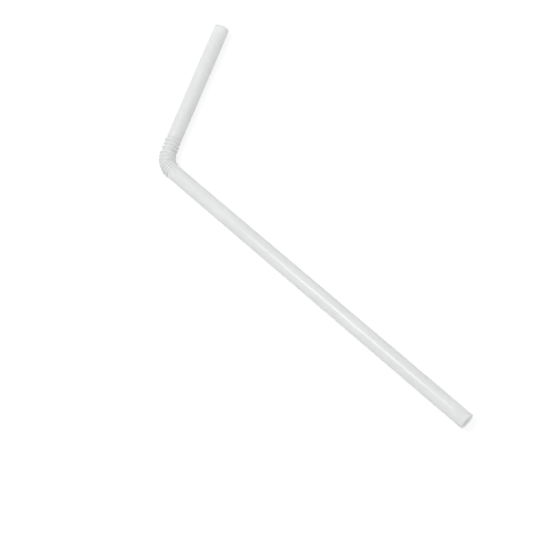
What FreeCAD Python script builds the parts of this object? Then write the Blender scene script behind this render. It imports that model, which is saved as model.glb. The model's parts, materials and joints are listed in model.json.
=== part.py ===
"""Bendable plastic drinking straw: one thin tube of polypropylene with a folded neck near its sip end.

Millimetres. The straw lies flat, as it comes to rest. Its long leg runs along +X, the folded neck turns
towards +Y, and the short leg carries on from it. The origin is the bottom centre of the straw's box.
Inside the body's own frame the neck starts at the origin, on the axis of the long leg.
"""
import FreeCAD
import Part
import os
import Sketcher

NODE = "bendable_straw"

# Driving dimensions: millimetres, degrees and counts
SIZES = {
    "tube_diameter": 5.8,
    "wall": 0.18,
    "long_leg": 146.6,
    "short_leg": 49.3,
    "shoulder": 0.5,
    "tight_root": 5.7,
    "tight_crest": 6.4,
    "tight_count": 8,
    "tight_turn": 8.1,
    "tight_pitch": 1.07,
    "loose_root": 5.2,
    "loose_crest": 6.2,
    "loose_count": 3,
    "loose_turn": 0.83,
    "loose_pitch": 1.6,
    "step_share": 0.5,
    "rise_share": 0.32,
    "crest_share": 0.14,
}

doc = FreeCAD.newDocument("Straw")

# Sheet of sizes: a name, its value and an alias in each row
sheet = doc.addObject("Spreadsheet::Sheet", "Sizes")
for row, (alias, value) in enumerate(SIZES.items(), start=1):
    sheet.set(f"A{row}", alias)
    sheet.set(f"B{row}", str(value))
    sheet.setAlias(f"B{row}", alias)
doc.recompute()

# Worked-out sizes, as expressions in the sheet's names
TUBE_RADIUS = "Sizes.tube_diameter / 2"
TIGHT_ROOT_RADIUS = "Sizes.tight_root / 2"
LOOSE_ROOT_RADIUS = "Sizes.loose_root / 2"
TIGHT_CREST_RADIUS = "Sizes.tight_crest / 2"
LOOSE_CREST_RADIUS = "Sizes.loose_crest / 2"
FULL_CIRCLE = 360
TIGHT_BEND_RADIUS = f"Sizes.tight_pitch * {FULL_CIRCLE / 2} / (pi * Sizes.tight_turn)"
LOOSE_BEND_RADIUS = f"Sizes.loose_pitch * {FULL_CIRCLE / 2} / (pi * Sizes.loose_turn)"
TIGHT_ANGLE = "Sizes.tight_count * Sizes.tight_turn"
STEP_ANGLE = f"({TIGHT_ANGLE} + Sizes.step_share * Sizes.loose_turn)"
BEND_ANGLE = f"({STEP_ANGLE} + Sizes.loose_count * Sizes.loose_turn)"

# The two pivots that the folds turn about lie beside the tube, on the inside of the bend
TIGHT_PIVOT = ("0", TIGHT_BEND_RADIUS)
PIVOT_STEP = f"({LOOSE_BEND_RADIUS} - {TIGHT_BEND_RADIUS})"
LOOSE_PIVOT = (
    f"{PIVOT_STEP} * sin({TIGHT_ANGLE})",
    f"{TIGHT_BEND_RADIUS} + {PIVOT_STEP} * cos({TIGHT_ANGLE})",
)

# Where the neck ends and the short leg begins, and where the short leg's open end is
NECK_END = (
    f"{LOOSE_PIVOT[0]} - {LOOSE_BEND_RADIUS} * sin({BEND_ANGLE})",
    f"{LOOSE_PIVOT[1]} - {LOOSE_BEND_RADIUS} * cos({BEND_ANGLE})",
)
TIP = (
    f"{NECK_END[0]} - Sizes.short_leg * cos({BEND_ANGLE})",
    f"{NECK_END[1]} + Sizes.short_leg * sin({BEND_ANGLE})",
)

body = doc.addObject("PartDesign::Body", "Body")
body.Label = NODE


def origin_plane(role):
    """One of the body's own origin planes, by its role."""
    return next(f for f in body.Origin.OriginFeatures if f.Role == role)


def bind(thing, expressions):
    """Ties each named property of a thing to an expression."""
    for name, expression in expressions.items():
        thing.setExpression(name, expression)


def new_sketch(name, role, axis, offset, angle):
    """A sketch on an origin plane, moved by three expressions and turned about an axis of that plane."""
    sketch = body.newObject("Sketcher::SketchObject", name)
    sketch.AttachmentSupport = [(origin_plane(role), "")]
    sketch.MapMode = "FlatFace"
    quarter_turn = FULL_CIRCLE / 4
    sketch.AttachmentOffset = FreeCAD.Placement(FreeCAD.Vector(), FreeCAD.Rotation(axis, quarter_turn))
    bind(sketch, {f"AttachmentOffset.Base.{letter}": text for letter, text in zip("xyz", offset)})
    sketch.setExpression("AttachmentOffset.Rotation.Angle", angle)
    return sketch


def distance(sketch, kind, first, second, name, expression):
    """A named distance between two points of a sketch, tied to an expression."""
    number = sketch.addConstraint(Sketcher.Constraint(kind, *first, *second, 1.0))
    sketch.renameConstraint(number, name)
    sketch.setExpression(f"Constraints.{name}", expression)


def ring_section(name, pivot, angle, bend_radius, outer_radius):
    """The tube's ring section where the neck has turned by an angle about a pivot.

    The sketch stands on the pivot's axis and turns about it, so the ring's centre is bend_radius away.
    """
    across, centre, root = (0, 3), (1, 3), (-1, 1)
    offset = (pivot[1], "0", pivot[0])
    sketch = new_sketch(name, "YZ_Plane", FreeCAD.Vector(0, -1, 0), offset, angle)
    nominal = SIZES["tube_diameter"] / 2
    start = FreeCAD.Vector(-SIZES["tube_diameter"], 0, 0)
    for radius in (nominal, nominal - SIZES["wall"]):
        sketch.addGeometry(Part.Circle(start, FreeCAD.Vector(0, 0, 1), radius), False)
    sketch.addConstraint(Sketcher.Constraint("PointOnObject", *across, -1))
    sketch.addConstraint(Sketcher.Constraint("Coincident", *centre, *across))
    distance(sketch, "DistanceX", across, root, "bend_radius", bend_radius)
    for circle, radius_name, text in (
        (0, "outer_radius", outer_radius),
        (1, "bore_radius", f"{outer_radius} - Sizes.wall"),
    ):
        number = sketch.addConstraint(Sketcher.Constraint("Radius", circle, nominal))
        sketch.renameConstraint(number, radius_name)
        sketch.setExpression(f"Constraints.{radius_name}", text)
    return sketch


def wall_through(name, pivot, bend_radius, rings):
    """A stretch of the neck's wall through rings, each with its name, the neck's angle and a radius."""
    sections = [
        ring_section(f"{name}_{place}", pivot, angle, bend_radius, radius) for place, angle, radius in rings
    ]
    loft = body.newObject("PartDesign::AdditiveLoft", name)
    loft.Profile = sections[0]
    loft.Sections = sections[1:]
    loft.Ruled = True
    body.Tip = loft
    return loft


def fold(name, pivot, start_angle, turn, bend_radius, root_radius, crest_radius):
    """One fold of the neck: a short rise from its root to a narrow crest, then a long fall to the next."""
    rings = [
        (place, f"{start_angle} + {share} * {turn}", radius)
        for place, share, radius in (
            ("root", "0", root_radius),
            ("crest_start", "Sizes.rise_share", crest_radius),
            ("crest_end", "(Sizes.rise_share + Sizes.crest_share)", crest_radius),
            ("next_root", "1", root_radius),
        )
    ]
    return wall_through(name, pivot, bend_radius, rings)


def repeat(name, feature, pivot, count, turn):
    """Copies of a fold, side by side, about the pivot that they turn on."""
    axis = FreeCAD.Vector(0, 0, 1)
    pivot_sketch = new_sketch(f"{name}_pivot", "XY_Plane", axis, (pivot[0], pivot[1], "0"), "0")
    pattern = body.newObject("PartDesign::PolarPattern", name)
    pattern.Originals = [feature]
    pattern.Axis = (pivot_sketch, ["N_Axis"])
    pattern.Reversed = True
    bind(pattern, {"Occurrences": count, "Angle": f"({count} - 1) * {turn}"})
    body.Tip = pattern
    return pattern


def leg(name, start, heading, root):
    """A straight leg with a short shoulder down to the neck's nearest root, turned about its own axis."""
    axis = FreeCAD.Vector(0, 0, 1)
    sketch = new_sketch(f"{name}_profile", "XY_Plane", axis, (start[0], start[1], "0"), heading)
    shoulder, reach = SIZES["shoulder"], SIZES[name]
    outer, low = SIZES["tube_diameter"] / 2, SIZES[root] / 2
    wall = SIZES["wall"]
    corners = [
        FreeCAD.Vector(0, low, 0),
        FreeCAD.Vector(shoulder, outer, 0),
        FreeCAD.Vector(reach, outer, 0),
        FreeCAD.Vector(reach, outer - wall, 0),
        FreeCAD.Vector(shoulder, outer - wall, 0),
        FreeCAD.Vector(0, low - wall, 0),
    ]
    count = len(corners)
    for number, corner in enumerate(corners):
        sketch.addGeometry(Part.LineSegment(corner, corners[(number + 1) % count]), False)
    for number in range(count):
        following = (number + 1) % count
        sketch.addConstraint(Sketcher.Constraint("Coincident", number, 2, following, 1))
    origin = (-1, 1)
    root_outer, shoulder_outer, end_outer, end_bore, shoulder_bore, root_bore = [
        (number, 1) for number in range(count)
    ]
    sketch.addConstraint(Sketcher.Constraint("PointOnObject", *root_outer, -2))
    sketch.addConstraint(Sketcher.Constraint("PointOnObject", *root_bore, -2))
    sketch.addConstraint(Sketcher.Constraint("Vertical", *end_outer, *end_bore))
    sketch.addConstraint(Sketcher.Constraint("Vertical", *shoulder_outer, *shoulder_bore))
    sketch.addConstraint(Sketcher.Constraint("Horizontal", *shoulder_outer, *end_outer))
    sketch.addConstraint(Sketcher.Constraint("Horizontal", *shoulder_bore, *end_bore))
    distance(sketch, "DistanceX", origin, shoulder_outer, "shoulder", "Sizes.shoulder")
    distance(sketch, "DistanceX", origin, end_outer, "length", f"Sizes.{name}")
    distance(sketch, "DistanceY", origin, root_outer, "root_radius", f"Sizes.{root} / 2")
    distance(sketch, "DistanceY", origin, shoulder_outer, "tube_radius", TUBE_RADIUS)
    distance(sketch, "DistanceY", root_bore, root_outer, "root_wall", "Sizes.wall")
    distance(sketch, "DistanceY", shoulder_bore, shoulder_outer, "tube_wall", "Sizes.wall")
    turned = body.newObject("PartDesign::Revolution", name)
    turned.Profile = sketch
    turned.ReferenceAxis = (sketch, ["H_Axis"])
    turned.Angle = FULL_CIRCLE
    body.Tip = turned
    return turned


# Long leg, tightly folded stretch, step, drawn-out stretch, short leg: each joins the one before
leg("long_leg", ("0", "0"), "0", "tight_root")
tight_fold = fold(
    "tight_fold",
    TIGHT_PIVOT,
    "0",
    "Sizes.tight_turn",
    TIGHT_BEND_RADIUS,
    TIGHT_ROOT_RADIUS,
    TIGHT_CREST_RADIUS,
)
repeat("tight_folds", tight_fold, TIGHT_PIVOT, "Sizes.tight_count", "Sizes.tight_turn")
wall_through(
    "root_step",
    LOOSE_PIVOT,
    LOOSE_BEND_RADIUS,
    [("tight_root", TIGHT_ANGLE, TIGHT_ROOT_RADIUS), ("loose_root", STEP_ANGLE, LOOSE_ROOT_RADIUS)],
)
loose_fold = fold(
    "loose_fold",
    LOOSE_PIVOT,
    STEP_ANGLE,
    "Sizes.loose_turn",
    LOOSE_BEND_RADIUS,
    LOOSE_ROOT_RADIUS,
    LOOSE_CREST_RADIUS,
)
repeat("loose_folds", loose_fold, LOOSE_PIVOT, "Sizes.loose_count", "Sizes.loose_turn")
leg("short_leg", NECK_END, f"{FULL_CIRCLE / 2} - {BEND_ANGLE}", "loose_root")

# The box: from the short leg's open end to the long leg's, and from the first crest to the short leg's end
FIRST_CREST_ANGLE = "Sizes.rise_share * Sizes.tight_turn"
LEFT = f"{TIP[0]} - {TUBE_RADIUS} * sin({BEND_ANGLE})"
NEAR = (
    f"{TIGHT_BEND_RADIUS} - ({TIGHT_BEND_RADIUS} + {TIGHT_CREST_RADIUS}) * cos({FIRST_CREST_ANGLE})"
)
FAR = f"{TIP[1]} + {TUBE_RADIUS} * cos({BEND_ANGLE})"
bind(
    body,
    {
        "Placement.Base.x": f"-(Sizes.long_leg + {LEFT}) / 2",
        "Placement.Base.y": f"-({NEAR} + {FAR}) / 2",
        "Placement.Base.z": TIGHT_CREST_RADIUS,
    },
)
doc.recompute()

failed = [thing.Name for thing in doc.Objects if {"Invalid", "Error"} & set(thing.State)]
if failed:
    raise RuntimeError(f"objects that didn't compute: {failed}")
shape = body.Shape
if shape.isNull() or not shape.isValid() or len(shape.Solids) != 1:
    raise RuntimeError(f"{NODE} isn't one valid solid")

os.makedirs("parts", exist_ok=True)
shape.exportStep(os.path.join("parts", f"{body.Label}.step"))
box = shape.BoundBox
print(f"{NODE}: {shape.Volume:.1f} mm3, {len(shape.Faces)} faces")
print(f"box {box.XMin:.3f} {box.XMax:.3f} {box.YMin:.3f} {box.YMax:.3f} {box.ZMin:.3f} {box.ZMax:.3f}")
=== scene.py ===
"""Bendable drinking straw: the visual model of its one piece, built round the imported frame.

Metres. The straw lies flat on the floor: a long leg along +X, a folded neck that turns towards +Y, and a
short leg. Its legs' places, headings and radii are read from the record's mounts.
"""
import json
import math

import bpy
from bpy.props import (
    FloatProperty,
    FloatVectorProperty,
    IntProperty,
    PointerProperty,
)
from mathutils import Matrix, Quaternion, Vector

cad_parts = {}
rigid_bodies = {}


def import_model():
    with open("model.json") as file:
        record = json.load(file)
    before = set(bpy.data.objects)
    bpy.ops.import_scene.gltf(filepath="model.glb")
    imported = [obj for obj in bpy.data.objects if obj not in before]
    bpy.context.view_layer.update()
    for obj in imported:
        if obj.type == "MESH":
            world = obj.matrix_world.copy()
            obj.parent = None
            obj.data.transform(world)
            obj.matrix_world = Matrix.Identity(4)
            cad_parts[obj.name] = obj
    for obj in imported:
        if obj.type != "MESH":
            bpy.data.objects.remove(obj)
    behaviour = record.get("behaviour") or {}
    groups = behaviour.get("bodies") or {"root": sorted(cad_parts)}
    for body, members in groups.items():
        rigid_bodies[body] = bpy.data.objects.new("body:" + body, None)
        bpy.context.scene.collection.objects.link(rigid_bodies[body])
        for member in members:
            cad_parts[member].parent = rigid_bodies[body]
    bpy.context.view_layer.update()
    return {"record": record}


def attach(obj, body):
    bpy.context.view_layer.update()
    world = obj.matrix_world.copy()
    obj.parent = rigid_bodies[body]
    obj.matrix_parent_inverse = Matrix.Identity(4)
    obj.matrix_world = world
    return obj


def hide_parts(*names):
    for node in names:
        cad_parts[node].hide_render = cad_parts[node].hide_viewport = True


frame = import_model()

bl_info = {
    "name": "Bendable straw",
    "version": (1, 0, 0),
    "blender": (4, 5, 0),
    "location": "3D View > Sidebar > Straw",
    "description": "Builds a bendable plastic drinking straw and a plain pale stage",
    "category": "Add Mesh",
}

MM = 0.001
UP = Vector((0, 0, 1))
QUARTER_TURN = math.pi / 2
NODE = "bendable_straw"
SLOT = "straw_plastic"
STRAIGHT_MAP = "straightened"

# Mesh: rings along each stretch of a skin, and how its doubles and edges are treated
SHOULDER_RINGS = 4
LEG_SPANS = 24
STEP_RINGS = 4
RISE_RINGS = 5
FALL_RINGS = 7
MERGE_DISTANCE = 1e-6
SMOOTH_ANGLE = math.radians(50)

# Plastic: drawn lines and cloudiness, as patterns for each metre along, across and up the straight tube
LINE_SCALE = (12, 2600, 2600)
LINE_DETAIL = 3.0
CLOUD_SCALE = 60.0
CLOUD_DETAIL = 2.0
LINE_SHARE = 0.5
TONE_RANGE = (0.965, 1.03)
ROUGHNESS_RANGE = (-0.06, 0.08)
LINE_STRENGTH = 0.12
LINE_DEPTH = 0.02 * MM
PLASTIC_IOR = 1.49

# Stage: floor, large soft light over the straw, and the camera's picture
FLOOR_SIDE = 6.0
FLOOR_WHITE = (0.9, 0.9, 0.9, 1)
FLOOR_ROUGHNESS = 0.9
FLOOR_GLOW = 0.84
SKY_WHITE = (1, 1, 1, 1)
KEY_OFFSET = Vector((-0.3, -0.06, 0.93))
KEY_WIDTH = 0.3
PICTURE_SIDE = 560
SENSOR_WIDTH = 36.0

mounts = {mount["name"]: mount for mount in frame["record"]["mounts"]}


def mount_leg(bore_name, outside_name):
    """A leg as its mounts give it: open end, heading out of it, plain length, outer and bore radius."""
    bore, outside = mounts[bore_name], mounts[outside_name]
    return {
        "end": Vector(bore["pos_m"]),
        "heading": Vector(bore["axis"]).normalized(),
        "plain": bore["dims"]["length_mm"] * MM,
        "outer": outside["dims"]["r_mm"] * MM,
        "bore": bore["dims"]["r_mm"] * MM,
    }


long_leg = mount_leg("drink_end_bore", "drink_end_outside")
short_leg = mount_leg("sip_end_bore", "sip_end_outside")
wall = long_leg["outer"] - long_leg["bore"]


class StrawSizes(bpy.types.PropertyGroup):
    """Sizes of the neck's folds and of the cut ends."""

    shoulder: FloatProperty(
        name="Shoulder",
        description="Length of the slope between a leg and the neck's first root",
        default=0.5 * MM,
        unit="LENGTH",
    )
    tight_root: FloatProperty(
        name="Tight root radius",
        description="Outer radius in the grooves between the tight folds",
        default=2.85 * MM,
        unit="LENGTH",
        precision=5,
    )
    tight_crest: FloatProperty(
        name="Tight crest radius",
        description="Outer radius on the crests of the tight folds",
        default=3.2 * MM,
        unit="LENGTH",
        precision=5,
    )
    tight_count: IntProperty(
        name="Tight folds",
        description="Folds that are pushed together, next to the long leg",
        default=8,
        min=1,
    )
    tight_turn: FloatProperty(
        name="Tight turn",
        description="How far one tight fold turns the neck",
        default=math.radians(8.1),
        subtype="ANGLE",
    )
    tight_pitch: FloatProperty(
        name="Tight pitch",
        description="Length of a tight fold along the neck's centre line",
        default=1.07 * MM,
        unit="LENGTH",
        precision=5,
    )
    tuck: FloatProperty(
        name="Tuck",
        description="How far the tight folds' grooves lie off centre: shallow inside the bend, deep outside",
        default=0.2 * MM,
        unit="LENGTH",
        precision=5,
    )
    loose_root: FloatProperty(
        name="Loose root radius",
        description="Outer radius in the grooves between the drawn-out folds",
        default=2.6 * MM,
        unit="LENGTH",
        precision=5,
    )
    loose_crest: FloatProperty(
        name="Loose crest radius",
        description="Outer radius on the crests of the drawn-out folds",
        default=3.1 * MM,
        unit="LENGTH",
        precision=5,
    )
    loose_count: IntProperty(
        name="Loose folds",
        description="Folds that are drawn out, next to the short leg",
        default=3,
        min=1,
    )
    loose_turn: FloatProperty(
        name="Loose turn",
        description="How far one drawn-out fold turns the neck",
        default=math.radians(0.83),
        subtype="ANGLE",
    )
    loose_pitch: FloatProperty(
        name="Loose pitch",
        description="Length of a drawn-out fold along the neck's centre line",
        default=1.6 * MM,
        unit="LENGTH",
        precision=5,
    )
    step_share: FloatProperty(
        name="Step",
        description="Share of a drawn-out fold that the wall takes to step down from the tight grooves",
        default=0.5,
        subtype="FACTOR",
    )
    rise_share: FloatProperty(
        name="Rise",
        description="Share of a fold that rises to its crest",
        default=0.32,
        subtype="FACTOR",
    )
    crest_share: FloatProperty(
        name="Crest",
        description="Share of a fold that its crest takes",
        default=0.14,
        subtype="FACTOR",
    )
    cut_edge: FloatProperty(
        name="Cut edge",
        description="Rounding of the cut ends' edges",
        default=0.03 * MM,
        unit="LENGTH",
        precision=5,
    )
    around: IntProperty(
        name="Points around",
        description="Points round the tube",
        default=96,
        min=12,
    )


class StrawFinish(bpy.types.PropertyGroup):
    """Colour and surface of the plastic."""

    colour: FloatVectorProperty(
        name="Colour",
        description="Milky white of the plastic",
        default=(0.874, 0.879, 0.879),
        subtype="COLOR",
        min=0.0,
        max=1.0,
    )
    roughness: FloatProperty(
        name="Roughness",
        description="Roughness of the drawn surface",
        default=0.23,
        subtype="FACTOR",
    )
    see_through: FloatProperty(
        name="See through",
        description="Share of the light that passes through the thin wall",
        default=0.6,
        subtype="FACTOR",
    )


class StrawStage(bpy.types.PropertyGroup):
    """Floor, lights and camera."""

    azimuth: FloatProperty(
        name="Azimuth",
        description="The camera's heading, from +Y towards -X",
        default=math.radians(79.299),
        subtype="ANGLE",
    )
    elevation: FloatProperty(
        name="Elevation",
        description="The camera's height above the horizon",
        default=math.radians(65.934),
        subtype="ANGLE",
    )
    roll: FloatProperty(
        name="Roll",
        description="The camera's turn about its own line of sight",
        default=math.radians(-37.643),
        subtype="ANGLE",
    )
    distance: FloatProperty(
        name="Distance",
        description="From the camera to the point that it looks at",
        default=0.42715,
        unit="LENGTH",
    )
    target: FloatVectorProperty(
        name="Target",
        description="The point that the camera looks at",
        default=(0.00483, -0.03126, 0.0032),
        precision=5,
        subtype="TRANSLATION",
    )
    focal_pixels: FloatProperty(
        name="Focal length in pixels",
        description="Focal length over the picture's pixel pitch",
        default=1200.0,
    )
    key_power: FloatProperty(
        name="Key light",
        description="Power of the large soft light",
        default=4.8,
        unit="POWER",
    )
    sky: FloatProperty(
        name="Sky",
        description="Strength of the even light from all round",
        default=0.84,
    )


def start_ring(centre, heading, radius, around):
    """Adds a ring of edges round a centre, square to a heading, with its first point at the top."""
    bpy.ops.mesh.select_all(action="DESELECT")
    bearing = math.atan2(heading.y, heading.x)
    bpy.ops.mesh.primitive_circle_add(
        vertices=around,
        radius=radius,
        location=centre,
        rotation=(0, QUARTER_TURN, bearing),
    )


def turn_round(pivot, angle):
    """Turns what is selected clockwise, seen from above. With no window the sign of rotate is reversed."""
    bpy.ops.transform.rotate(
        value=angle,
        orient_axis="Z",
        orient_type="GLOBAL",
        center_override=pivot,
    )


def set_radius(centre, radius_from, radius_to):
    """Widens or narrows the ring that is selected, about its own centre."""
    share = radius_to / radius_from
    bpy.ops.transform.resize(value=(share, share, share), center_override=centre)


def turned_place(point, pivot, angle):
    """Where a point goes when it turns clockwise about an upright pivot."""
    return pivot + Matrix.Rotation(-angle, 3, "Z") @ (point - pivot)


def leg_skin(start, heading, inside, profile, around):
    """One skin of a leg, from the neck outwards.

    The profile holds distances from the neck, radii and how far the rings are tucked to the inside.
    """
    (here, radius, tuck), *rest = profile
    start_ring(start + heading * here + inside * tuck, heading, radius, around)
    for there, next_radius, next_tuck in rest:
        bpy.ops.mesh.extrude_region_move()
        bpy.ops.transform.translate(value=heading * (there - here) + inside * (next_tuck - tuck))
        if next_radius != radius:
            set_radius(start + heading * there + inside * next_tuck, radius, next_radius)
        here, radius, tuck = there, next_radius, next_tuck


def fold_skin(start, heading, pivot, turn, profile, count, around):
    """One skin of a row of like folds. The first is drawn ring by ring, and the others are turned copies.

    The profile holds shares of a fold's turn, radii and how far the rings are tucked to the inside.
    """
    (here, radius, tuck), *rest = profile
    start_ring(start + (pivot - start).normalized() * tuck, heading, radius, around)
    for there, next_radius, next_tuck in rest:
        bpy.ops.mesh.extrude_region_move()
        turn_round(pivot, (there - here) * turn)
        centre = turned_place(start, pivot, there * turn)
        inside = (pivot - centre).normalized()
        bpy.ops.transform.translate(value=inside * (next_tuck - tuck))
        if next_radius != radius:
            set_radius(centre + inside * next_tuck, radius, next_radius)
        here, radius, tuck = there, next_radius, next_tuck
    bpy.ops.mesh.select_linked()
    for _ in range(count - 1):
        bpy.ops.mesh.duplicate()
        turn_round(pivot, turn)


def eased(share):
    """A soft start and a soft stop between 0 and 1."""
    return share * share * (3 - 2 * share)


def slope(first, last, rings):
    """Rings from one place, radius and tuck to another, with a soft start and a soft stop."""
    ways = [ring / rings for ring in range(rings + 1)]
    return [
        (
            first[0] + (last[0] - first[0]) * way,
            first[1] + (last[1] - first[1]) * eased(way),
            first[2] + (last[2] - first[2]) * eased(way),
        )
        for way in ways
    ]


def fold_profile(root, crest, tuck, rise_share, crest_share):
    """One fold: a short rise, a narrow crest and a long fall."""
    rise = slope((0.0, root, tuck), (rise_share, crest, 0.0), RISE_RINGS)
    fall = slope((rise_share + crest_share, crest, 0.0), (1.0, root, tuck), FALL_RINGS)
    return rise + fall


def leg_profile(sizes, leg, root, tuck, inset):
    """Distances from the neck, radii and tucks along one skin of a leg. The outer one closes the cut end."""
    tube_radius = leg["outer"] - inset
    shoulder = slope((0.0, root, tuck), (sizes.shoulder, tube_radius, 0.0), SHOULDER_RINGS)
    straight = [
        (sizes.shoulder + (leg["plain"] - sizes.cut_edge) * span / LEG_SPANS, tube_radius, 0.0)
        for span in range(1, LEG_SPANS + 1)
    ]
    end = sizes.shoulder + leg["plain"]
    outer_lip = (end, leg["outer"] - sizes.cut_edge, 0.0)
    bore_lip = (end, leg["bore"] + sizes.cut_edge, 0.0)
    lips = [bore_lip] if inset else [outer_lip, bore_lip]
    return [*shoulder, *straight, *lips]


def neck_stretches(sizes):
    """The neck's stretches: where each starts, its heading and pivot there, a fold's turn and pitch."""
    start = long_leg["end"] - long_leg["heading"] * (long_leg["plain"] + sizes.shoulder)
    heading = long_leg["heading"].copy()
    stretches, before = {}, 0.0
    for name, count, turn, pitch in (
        ("tight", sizes.tight_count, sizes.tight_turn, sizes.tight_pitch),
        ("step", 1, sizes.loose_turn * sizes.step_share, sizes.loose_pitch * sizes.step_share),
        ("loose", sizes.loose_count, sizes.loose_turn, sizes.loose_pitch),
    ):
        pivot = start + UP.cross(heading) * (pitch / turn)
        stretches[name] = {
            "start": start,
            "heading": heading,
            "pivot": pivot,
            "count": count,
            "turn": turn,
            "pitch": pitch,
            "before": before,
        }
        start = turned_place(start, pivot, count * turn)
        heading = Matrix.Rotation(-count * turn, 3, "Z") @ heading
        before += count * pitch
    return stretches


def draw_skin(sizes, inset):
    """The whole of one skin: inset is 0 for the outside and the wall's thickness for the inside."""
    stretches = neck_stretches(sizes)
    tight_root, loose_root = sizes.tight_root - inset, sizes.loose_root - inset
    long_start = stretches["tight"]["start"]
    short_start = short_leg["end"] - short_leg["heading"] * (short_leg["plain"] + sizes.shoulder)
    for leg, start, root, tuck in (
        (long_leg, long_start, tight_root, sizes.tuck),
        (short_leg, short_start, loose_root, 0.0),
    ):
        profile = leg_profile(sizes, leg, root, tuck, inset)
        leg_skin(start, leg["heading"], UP.cross(leg["heading"]), profile, sizes.around)
    shape = (sizes.rise_share, sizes.crest_share)
    for name, profile in (
        ("tight", fold_profile(tight_root, sizes.tight_crest - inset, sizes.tuck, *shape)),
        ("step", slope((0.0, tight_root, sizes.tuck), (1.0, loose_root, 0.0), STEP_RINGS)),
        ("loose", fold_profile(loose_root, sizes.loose_crest - inset, 0.0, *shape)),
    ):
        stretch = stretches[name]
        fold_skin(
            stretch["start"],
            stretch["heading"],
            stretch["pivot"],
            stretch["turn"],
            profile,
            stretch["count"],
            sizes.around,
        )


def unbend(point, stretches, neck_length):
    """A point's place if the straw were pulled straight: along the tube, across it and up."""
    out = point - stretches["tight"]["start"]
    if out.dot(long_leg["heading"]) >= 0:
        return Vector((out.dot(long_leg["heading"]), out.dot(UP.cross(long_leg["heading"])), out.z))
    for stretch in stretches.values():
        arm, first = point - stretch["pivot"], stretch["start"] - stretch["pivot"]
        folds = first.xy.angle_signed(arm.xy) / stretch["turn"]
        if folds <= stretch["count"]:
            along = stretch["before"] + folds * stretch["pitch"]
            return Vector((-along, first.xy.length - arm.xy.length, arm.z))
    out = point - short_leg["end"]
    past_neck = short_leg["plain"] + out.dot(short_leg["heading"])
    return Vector((-neck_length - past_neck, out.dot(short_leg["heading"].cross(UP)), out.z))


def lay_straight_map(straw, sizes):
    """Stores each point's place on the straightened tube, for patterns that follow the wall."""
    stretches = neck_stretches(sizes)
    last = stretches["loose"]
    neck_length = last["before"] + last["count"] * last["pitch"]
    mesh = straw.data
    layer = mesh.attributes.new(STRAIGHT_MAP, "FLOAT_VECTOR", "POINT")
    for vertex, value in zip(mesh.vertices, layer.data):
        value.vector = unbend(vertex.co, stretches, neck_length)


def straw_plastic(finish):
    """Milky polypropylene: a soft shine, fine drawn lines along the wall and light that passes through."""
    material = bpy.data.materials.new(SLOT)
    material.use_nodes = True
    nodes, links = material.node_tree.nodes, material.node_tree.links
    shader = nodes["Principled BSDF"]
    output = nodes["Material Output"]
    place = nodes.new("ShaderNodeAttribute")
    place.attribute_name = STRAIGHT_MAP

    drawn = nodes.new("ShaderNodeMapping")
    drawn.inputs["Scale"].default_value = LINE_SCALE
    links.new(place.outputs["Vector"], drawn.inputs["Vector"])
    lines = nodes.new("ShaderNodeTexNoise")
    lines.inputs["Scale"].default_value = 1.0
    lines.inputs["Detail"].default_value = LINE_DETAIL
    links.new(drawn.outputs["Vector"], lines.inputs["Vector"])

    cloud = nodes.new("ShaderNodeTexNoise")
    cloud.inputs["Scale"].default_value = CLOUD_SCALE
    cloud.inputs["Detail"].default_value = CLOUD_DETAIL
    links.new(place.outputs["Vector"], cloud.inputs["Vector"])

    tone = nodes.new("ShaderNodeMix")
    tone.data_type = "RGBA"
    for socket, share in zip("AB", TONE_RANGE):
        tone.inputs[socket].default_value = (*[min(c * share, 1) for c in finish.colour], 1)
    blend = nodes.new("ShaderNodeMix")
    blend.inputs["Factor"].default_value = LINE_SHARE
    links.new(cloud.outputs["Fac"], blend.inputs["A"])
    links.new(lines.outputs["Fac"], blend.inputs["B"])
    links.new(blend.outputs["Result"], tone.inputs["Factor"])
    links.new(tone.outputs["Result"], shader.inputs["Base Color"])

    rough = nodes.new("ShaderNodeMapRange")
    for socket, change in zip(("To Min", "To Max"), ROUGHNESS_RANGE):
        rough.inputs[socket].default_value = finish.roughness + change
    links.new(lines.outputs["Fac"], rough.inputs["Value"])
    links.new(rough.outputs["Result"], shader.inputs["Roughness"])

    bump = nodes.new("ShaderNodeBump")
    bump.inputs["Strength"].default_value = LINE_STRENGTH
    bump.inputs["Distance"].default_value = LINE_DEPTH
    links.new(lines.outputs["Fac"], bump.inputs["Height"])
    links.new(bump.outputs["Normal"], shader.inputs["Normal"])

    shader.inputs["IOR"].default_value = PLASTIC_IOR

    through = nodes.new("ShaderNodeBsdfTranslucent")
    links.new(tone.outputs["Result"], through.inputs["Color"])
    links.new(bump.outputs["Normal"], through.inputs["Normal"])
    mix = nodes.new("ShaderNodeMixShader")
    mix.inputs["Fac"].default_value = finish.see_through
    links.new(shader.outputs["BSDF"], mix.inputs[1])
    links.new(through.outputs["BSDF"], mix.inputs[2])
    links.new(mix.outputs["Shader"], output.inputs["Surface"])
    return material


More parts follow.
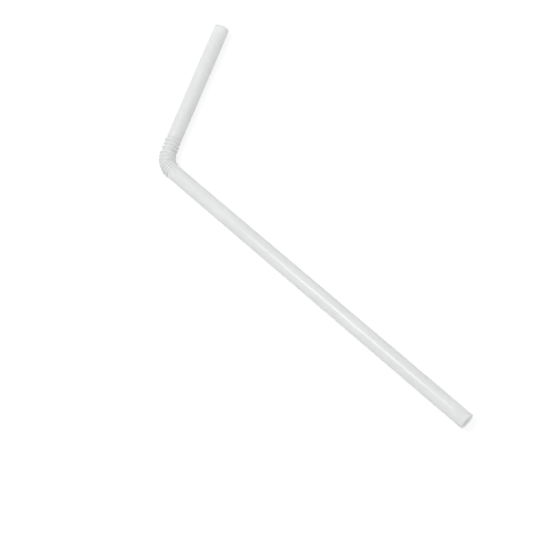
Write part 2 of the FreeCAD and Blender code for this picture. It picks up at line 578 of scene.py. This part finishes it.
class STRAW_OT_straw(bpy.types.Operator):
    """Builds the straw: both skins of its wall, closed at the cut ends, with its plastic"""

    bl_idname = "straw.straw"
    bl_label = "Build straw"

    def execute(self, context):
        sizes = context.scene.straw_sizes
        finish = context.scene.straw_finish
        bpy.ops.object.select_all(action="DESELECT")
        # A small ring that only brings in an empty mesh at the origin
        bpy.ops.mesh.primitive_circle_add(vertices=3, radius=MM)
        straw = context.object
        straw.name = straw.data.name = "straw_tube"
        bpy.ops.object.mode_set(mode="EDIT")
        bpy.ops.mesh.select_all(action="SELECT")
        bpy.ops.mesh.delete(type="VERT")
        for inset in (0.0, wall):
            draw_skin(sizes, inset)
        bpy.ops.mesh.select_all(action="SELECT")
        bpy.ops.mesh.remove_doubles(threshold=MERGE_DISTANCE)
        bpy.ops.mesh.normals_make_consistent(inside=False)
        bpy.ops.object.mode_set(mode="OBJECT")
        bpy.ops.object.shade_smooth_by_angle(angle=SMOOTH_ANGLE)
        lay_straight_map(straw, sizes)
        straw.data.materials.clear()
        straw.data.materials.append(straw_plastic(finish))
        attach(straw, "root")
        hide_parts(NODE)
        return {"FINISHED"}


def background_rays(nodes, links):
    """1 where the camera sees the background itself, in a reflection or through something, and else 0."""
    rays = nodes.new("ShaderNodeLightPath")
    seen = rays.outputs["Is Camera Ray"]
    for name in ("Is Glossy Ray", "Is Transmission Ray"):
        either = nodes.new("ShaderNodeMath")
        either.operation = "MAXIMUM"
        links.new(seen, either.inputs[0])
        links.new(rays.outputs[name], either.inputs[1])
        seen = either.outputs[0]
    return seen


def floor_material():
    """White floor: it takes the straw's shadow, and itself shows as near white."""
    material = bpy.data.materials.new("stage_floor")
    material.use_nodes = True
    nodes, links = material.node_tree.nodes, material.node_tree.links
    shader = nodes["Principled BSDF"]
    output = nodes["Material Output"]
    shader.inputs["Base Color"].default_value = FLOOR_WHITE
    shader.inputs["Roughness"].default_value = FLOOR_ROUGHNESS
    shader.inputs["Specular IOR Level"].default_value = 0.0
    glow = nodes.new("ShaderNodeEmission")
    glow.inputs["Strength"].default_value = 1.0
    share = nodes.new("ShaderNodeMath")
    share.operation = "MULTIPLY"
    share.inputs[1].default_value = FLOOR_GLOW
    links.new(background_rays(nodes, links), share.inputs[0])
    mix = nodes.new("ShaderNodeMixShader")
    links.new(share.outputs[0], mix.inputs["Fac"])
    links.new(shader.outputs["BSDF"], mix.inputs[1])
    links.new(glow.outputs["Emission"], mix.inputs[2])
    links.new(mix.outputs["Shader"], output.inputs["Surface"])
    return material


def white_world(sky):
    """Even light from all round, at the sky's strength, which itself shows as plain white."""
    world = bpy.data.worlds.new("stage_sky")
    world.use_nodes = True
    bpy.context.scene.world = world
    nodes, links = world.node_tree.nodes, world.node_tree.links
    background = nodes["Background"]
    background.inputs["Color"].default_value = SKY_WHITE
    strength = nodes.new("ShaderNodeMapRange")
    strength.inputs["To Min"].default_value = sky
    strength.inputs["To Max"].default_value = 1.0
    links.new(background_rays(nodes, links), strength.inputs["Value"])
    links.new(strength.outputs["Result"], background.inputs["Strength"])


class STRAW_OT_stage(bpy.types.Operator):
    """Builds the floor, the lights and the camera, and sets the plain view transform"""

    bl_idname = "straw.stage"
    bl_label = "Build stage"

    def execute(self, context):
        stage = context.scene.straw_stage
        bpy.ops.object.select_all(action="DESELECT")
        bpy.ops.mesh.primitive_plane_add(size=FLOOR_SIDE)
        floor = context.object
        floor.name = "stage_floor"
        floor.data.materials.append(floor_material())
        white_world(stage.sky)

        target = Vector(stage.target)
        key_data = bpy.data.lights.new("key", "AREA")
        key_data.energy = stage.key_power
        key_data.shape = "DISK"
        key_data.size = KEY_WIDTH
        key = bpy.data.objects.new("key", key_data)
        context.collection.objects.link(key)
        key.location = target + KEY_OFFSET
        key.rotation_euler = (-KEY_OFFSET).to_track_quat("-Z", "Y").to_euler()

        level = math.cos(stage.elevation)
        back = Vector(
            (
                math.sin(stage.azimuth) * level,
                -math.cos(stage.azimuth) * level,
                math.sin(stage.elevation),
            )
        )
        camera_data = bpy.data.cameras.new("camera")
        camera_data.sensor_width = SENSOR_WIDTH
        camera_data.lens = stage.focal_pixels / PICTURE_SIDE * SENSOR_WIDTH
        camera = bpy.data.objects.new("camera", camera_data)
        context.collection.objects.link(camera)
        camera.location = target + back * stage.distance
        sight = (-back).to_track_quat("-Z", "Y")
        camera.rotation_euler = (sight @ Quaternion((0, 0, 1), stage.roll)).to_euler()
        context.scene.camera = camera
        context.scene.view_settings.view_transform = "Standard"
        return {"FINISHED"}


class STRAW_PT_panel(bpy.types.Panel):
    """Sizes, finish and stage of the straw"""

    bl_idname = "STRAW_PT_panel"
    bl_label = "Bendable straw"
    bl_space_type = "VIEW_3D"
    bl_region_type = "UI"
    bl_category = "Straw"

    def draw(self, context):
        layout = self.layout
        scene = context.scene
        for group, operator in (
            (scene.straw_sizes, STRAW_OT_straw),
            (scene.straw_finish, None),
            (scene.straw_stage, STRAW_OT_stage),
        ):
            box = layout.box()
            for name in group.__annotations__:
                box.prop(group, name)
            if operator:
                box.operator(operator.bl_idname)


CLASSES = (
    StrawSizes,
    StrawFinish,
    StrawStage,
    STRAW_OT_straw,
    STRAW_OT_stage,
    STRAW_PT_panel,
)


def register():
    """Registers the classes and hangs the property groups on the scene."""
    for cls in CLASSES:
        bpy.utils.register_class(cls)
    bpy.types.Scene.straw_sizes = PointerProperty(type=StrawSizes)
    bpy.types.Scene.straw_finish = PointerProperty(type=StrawFinish)
    bpy.types.Scene.straw_stage = PointerProperty(type=StrawStage)


def unregister():
    """Takes away what register added."""
    del bpy.types.Scene.straw_stage
    del bpy.types.Scene.straw_finish
    del bpy.types.Scene.straw_sizes
    for cls in reversed(CLASSES):
        bpy.utils.unregister_class(cls)


def main():
    """Builds the straw and its stage."""
    register()
    bpy.ops.straw.straw()
    bpy.ops.straw.stage()


if __name__ == "__main__":
    main()
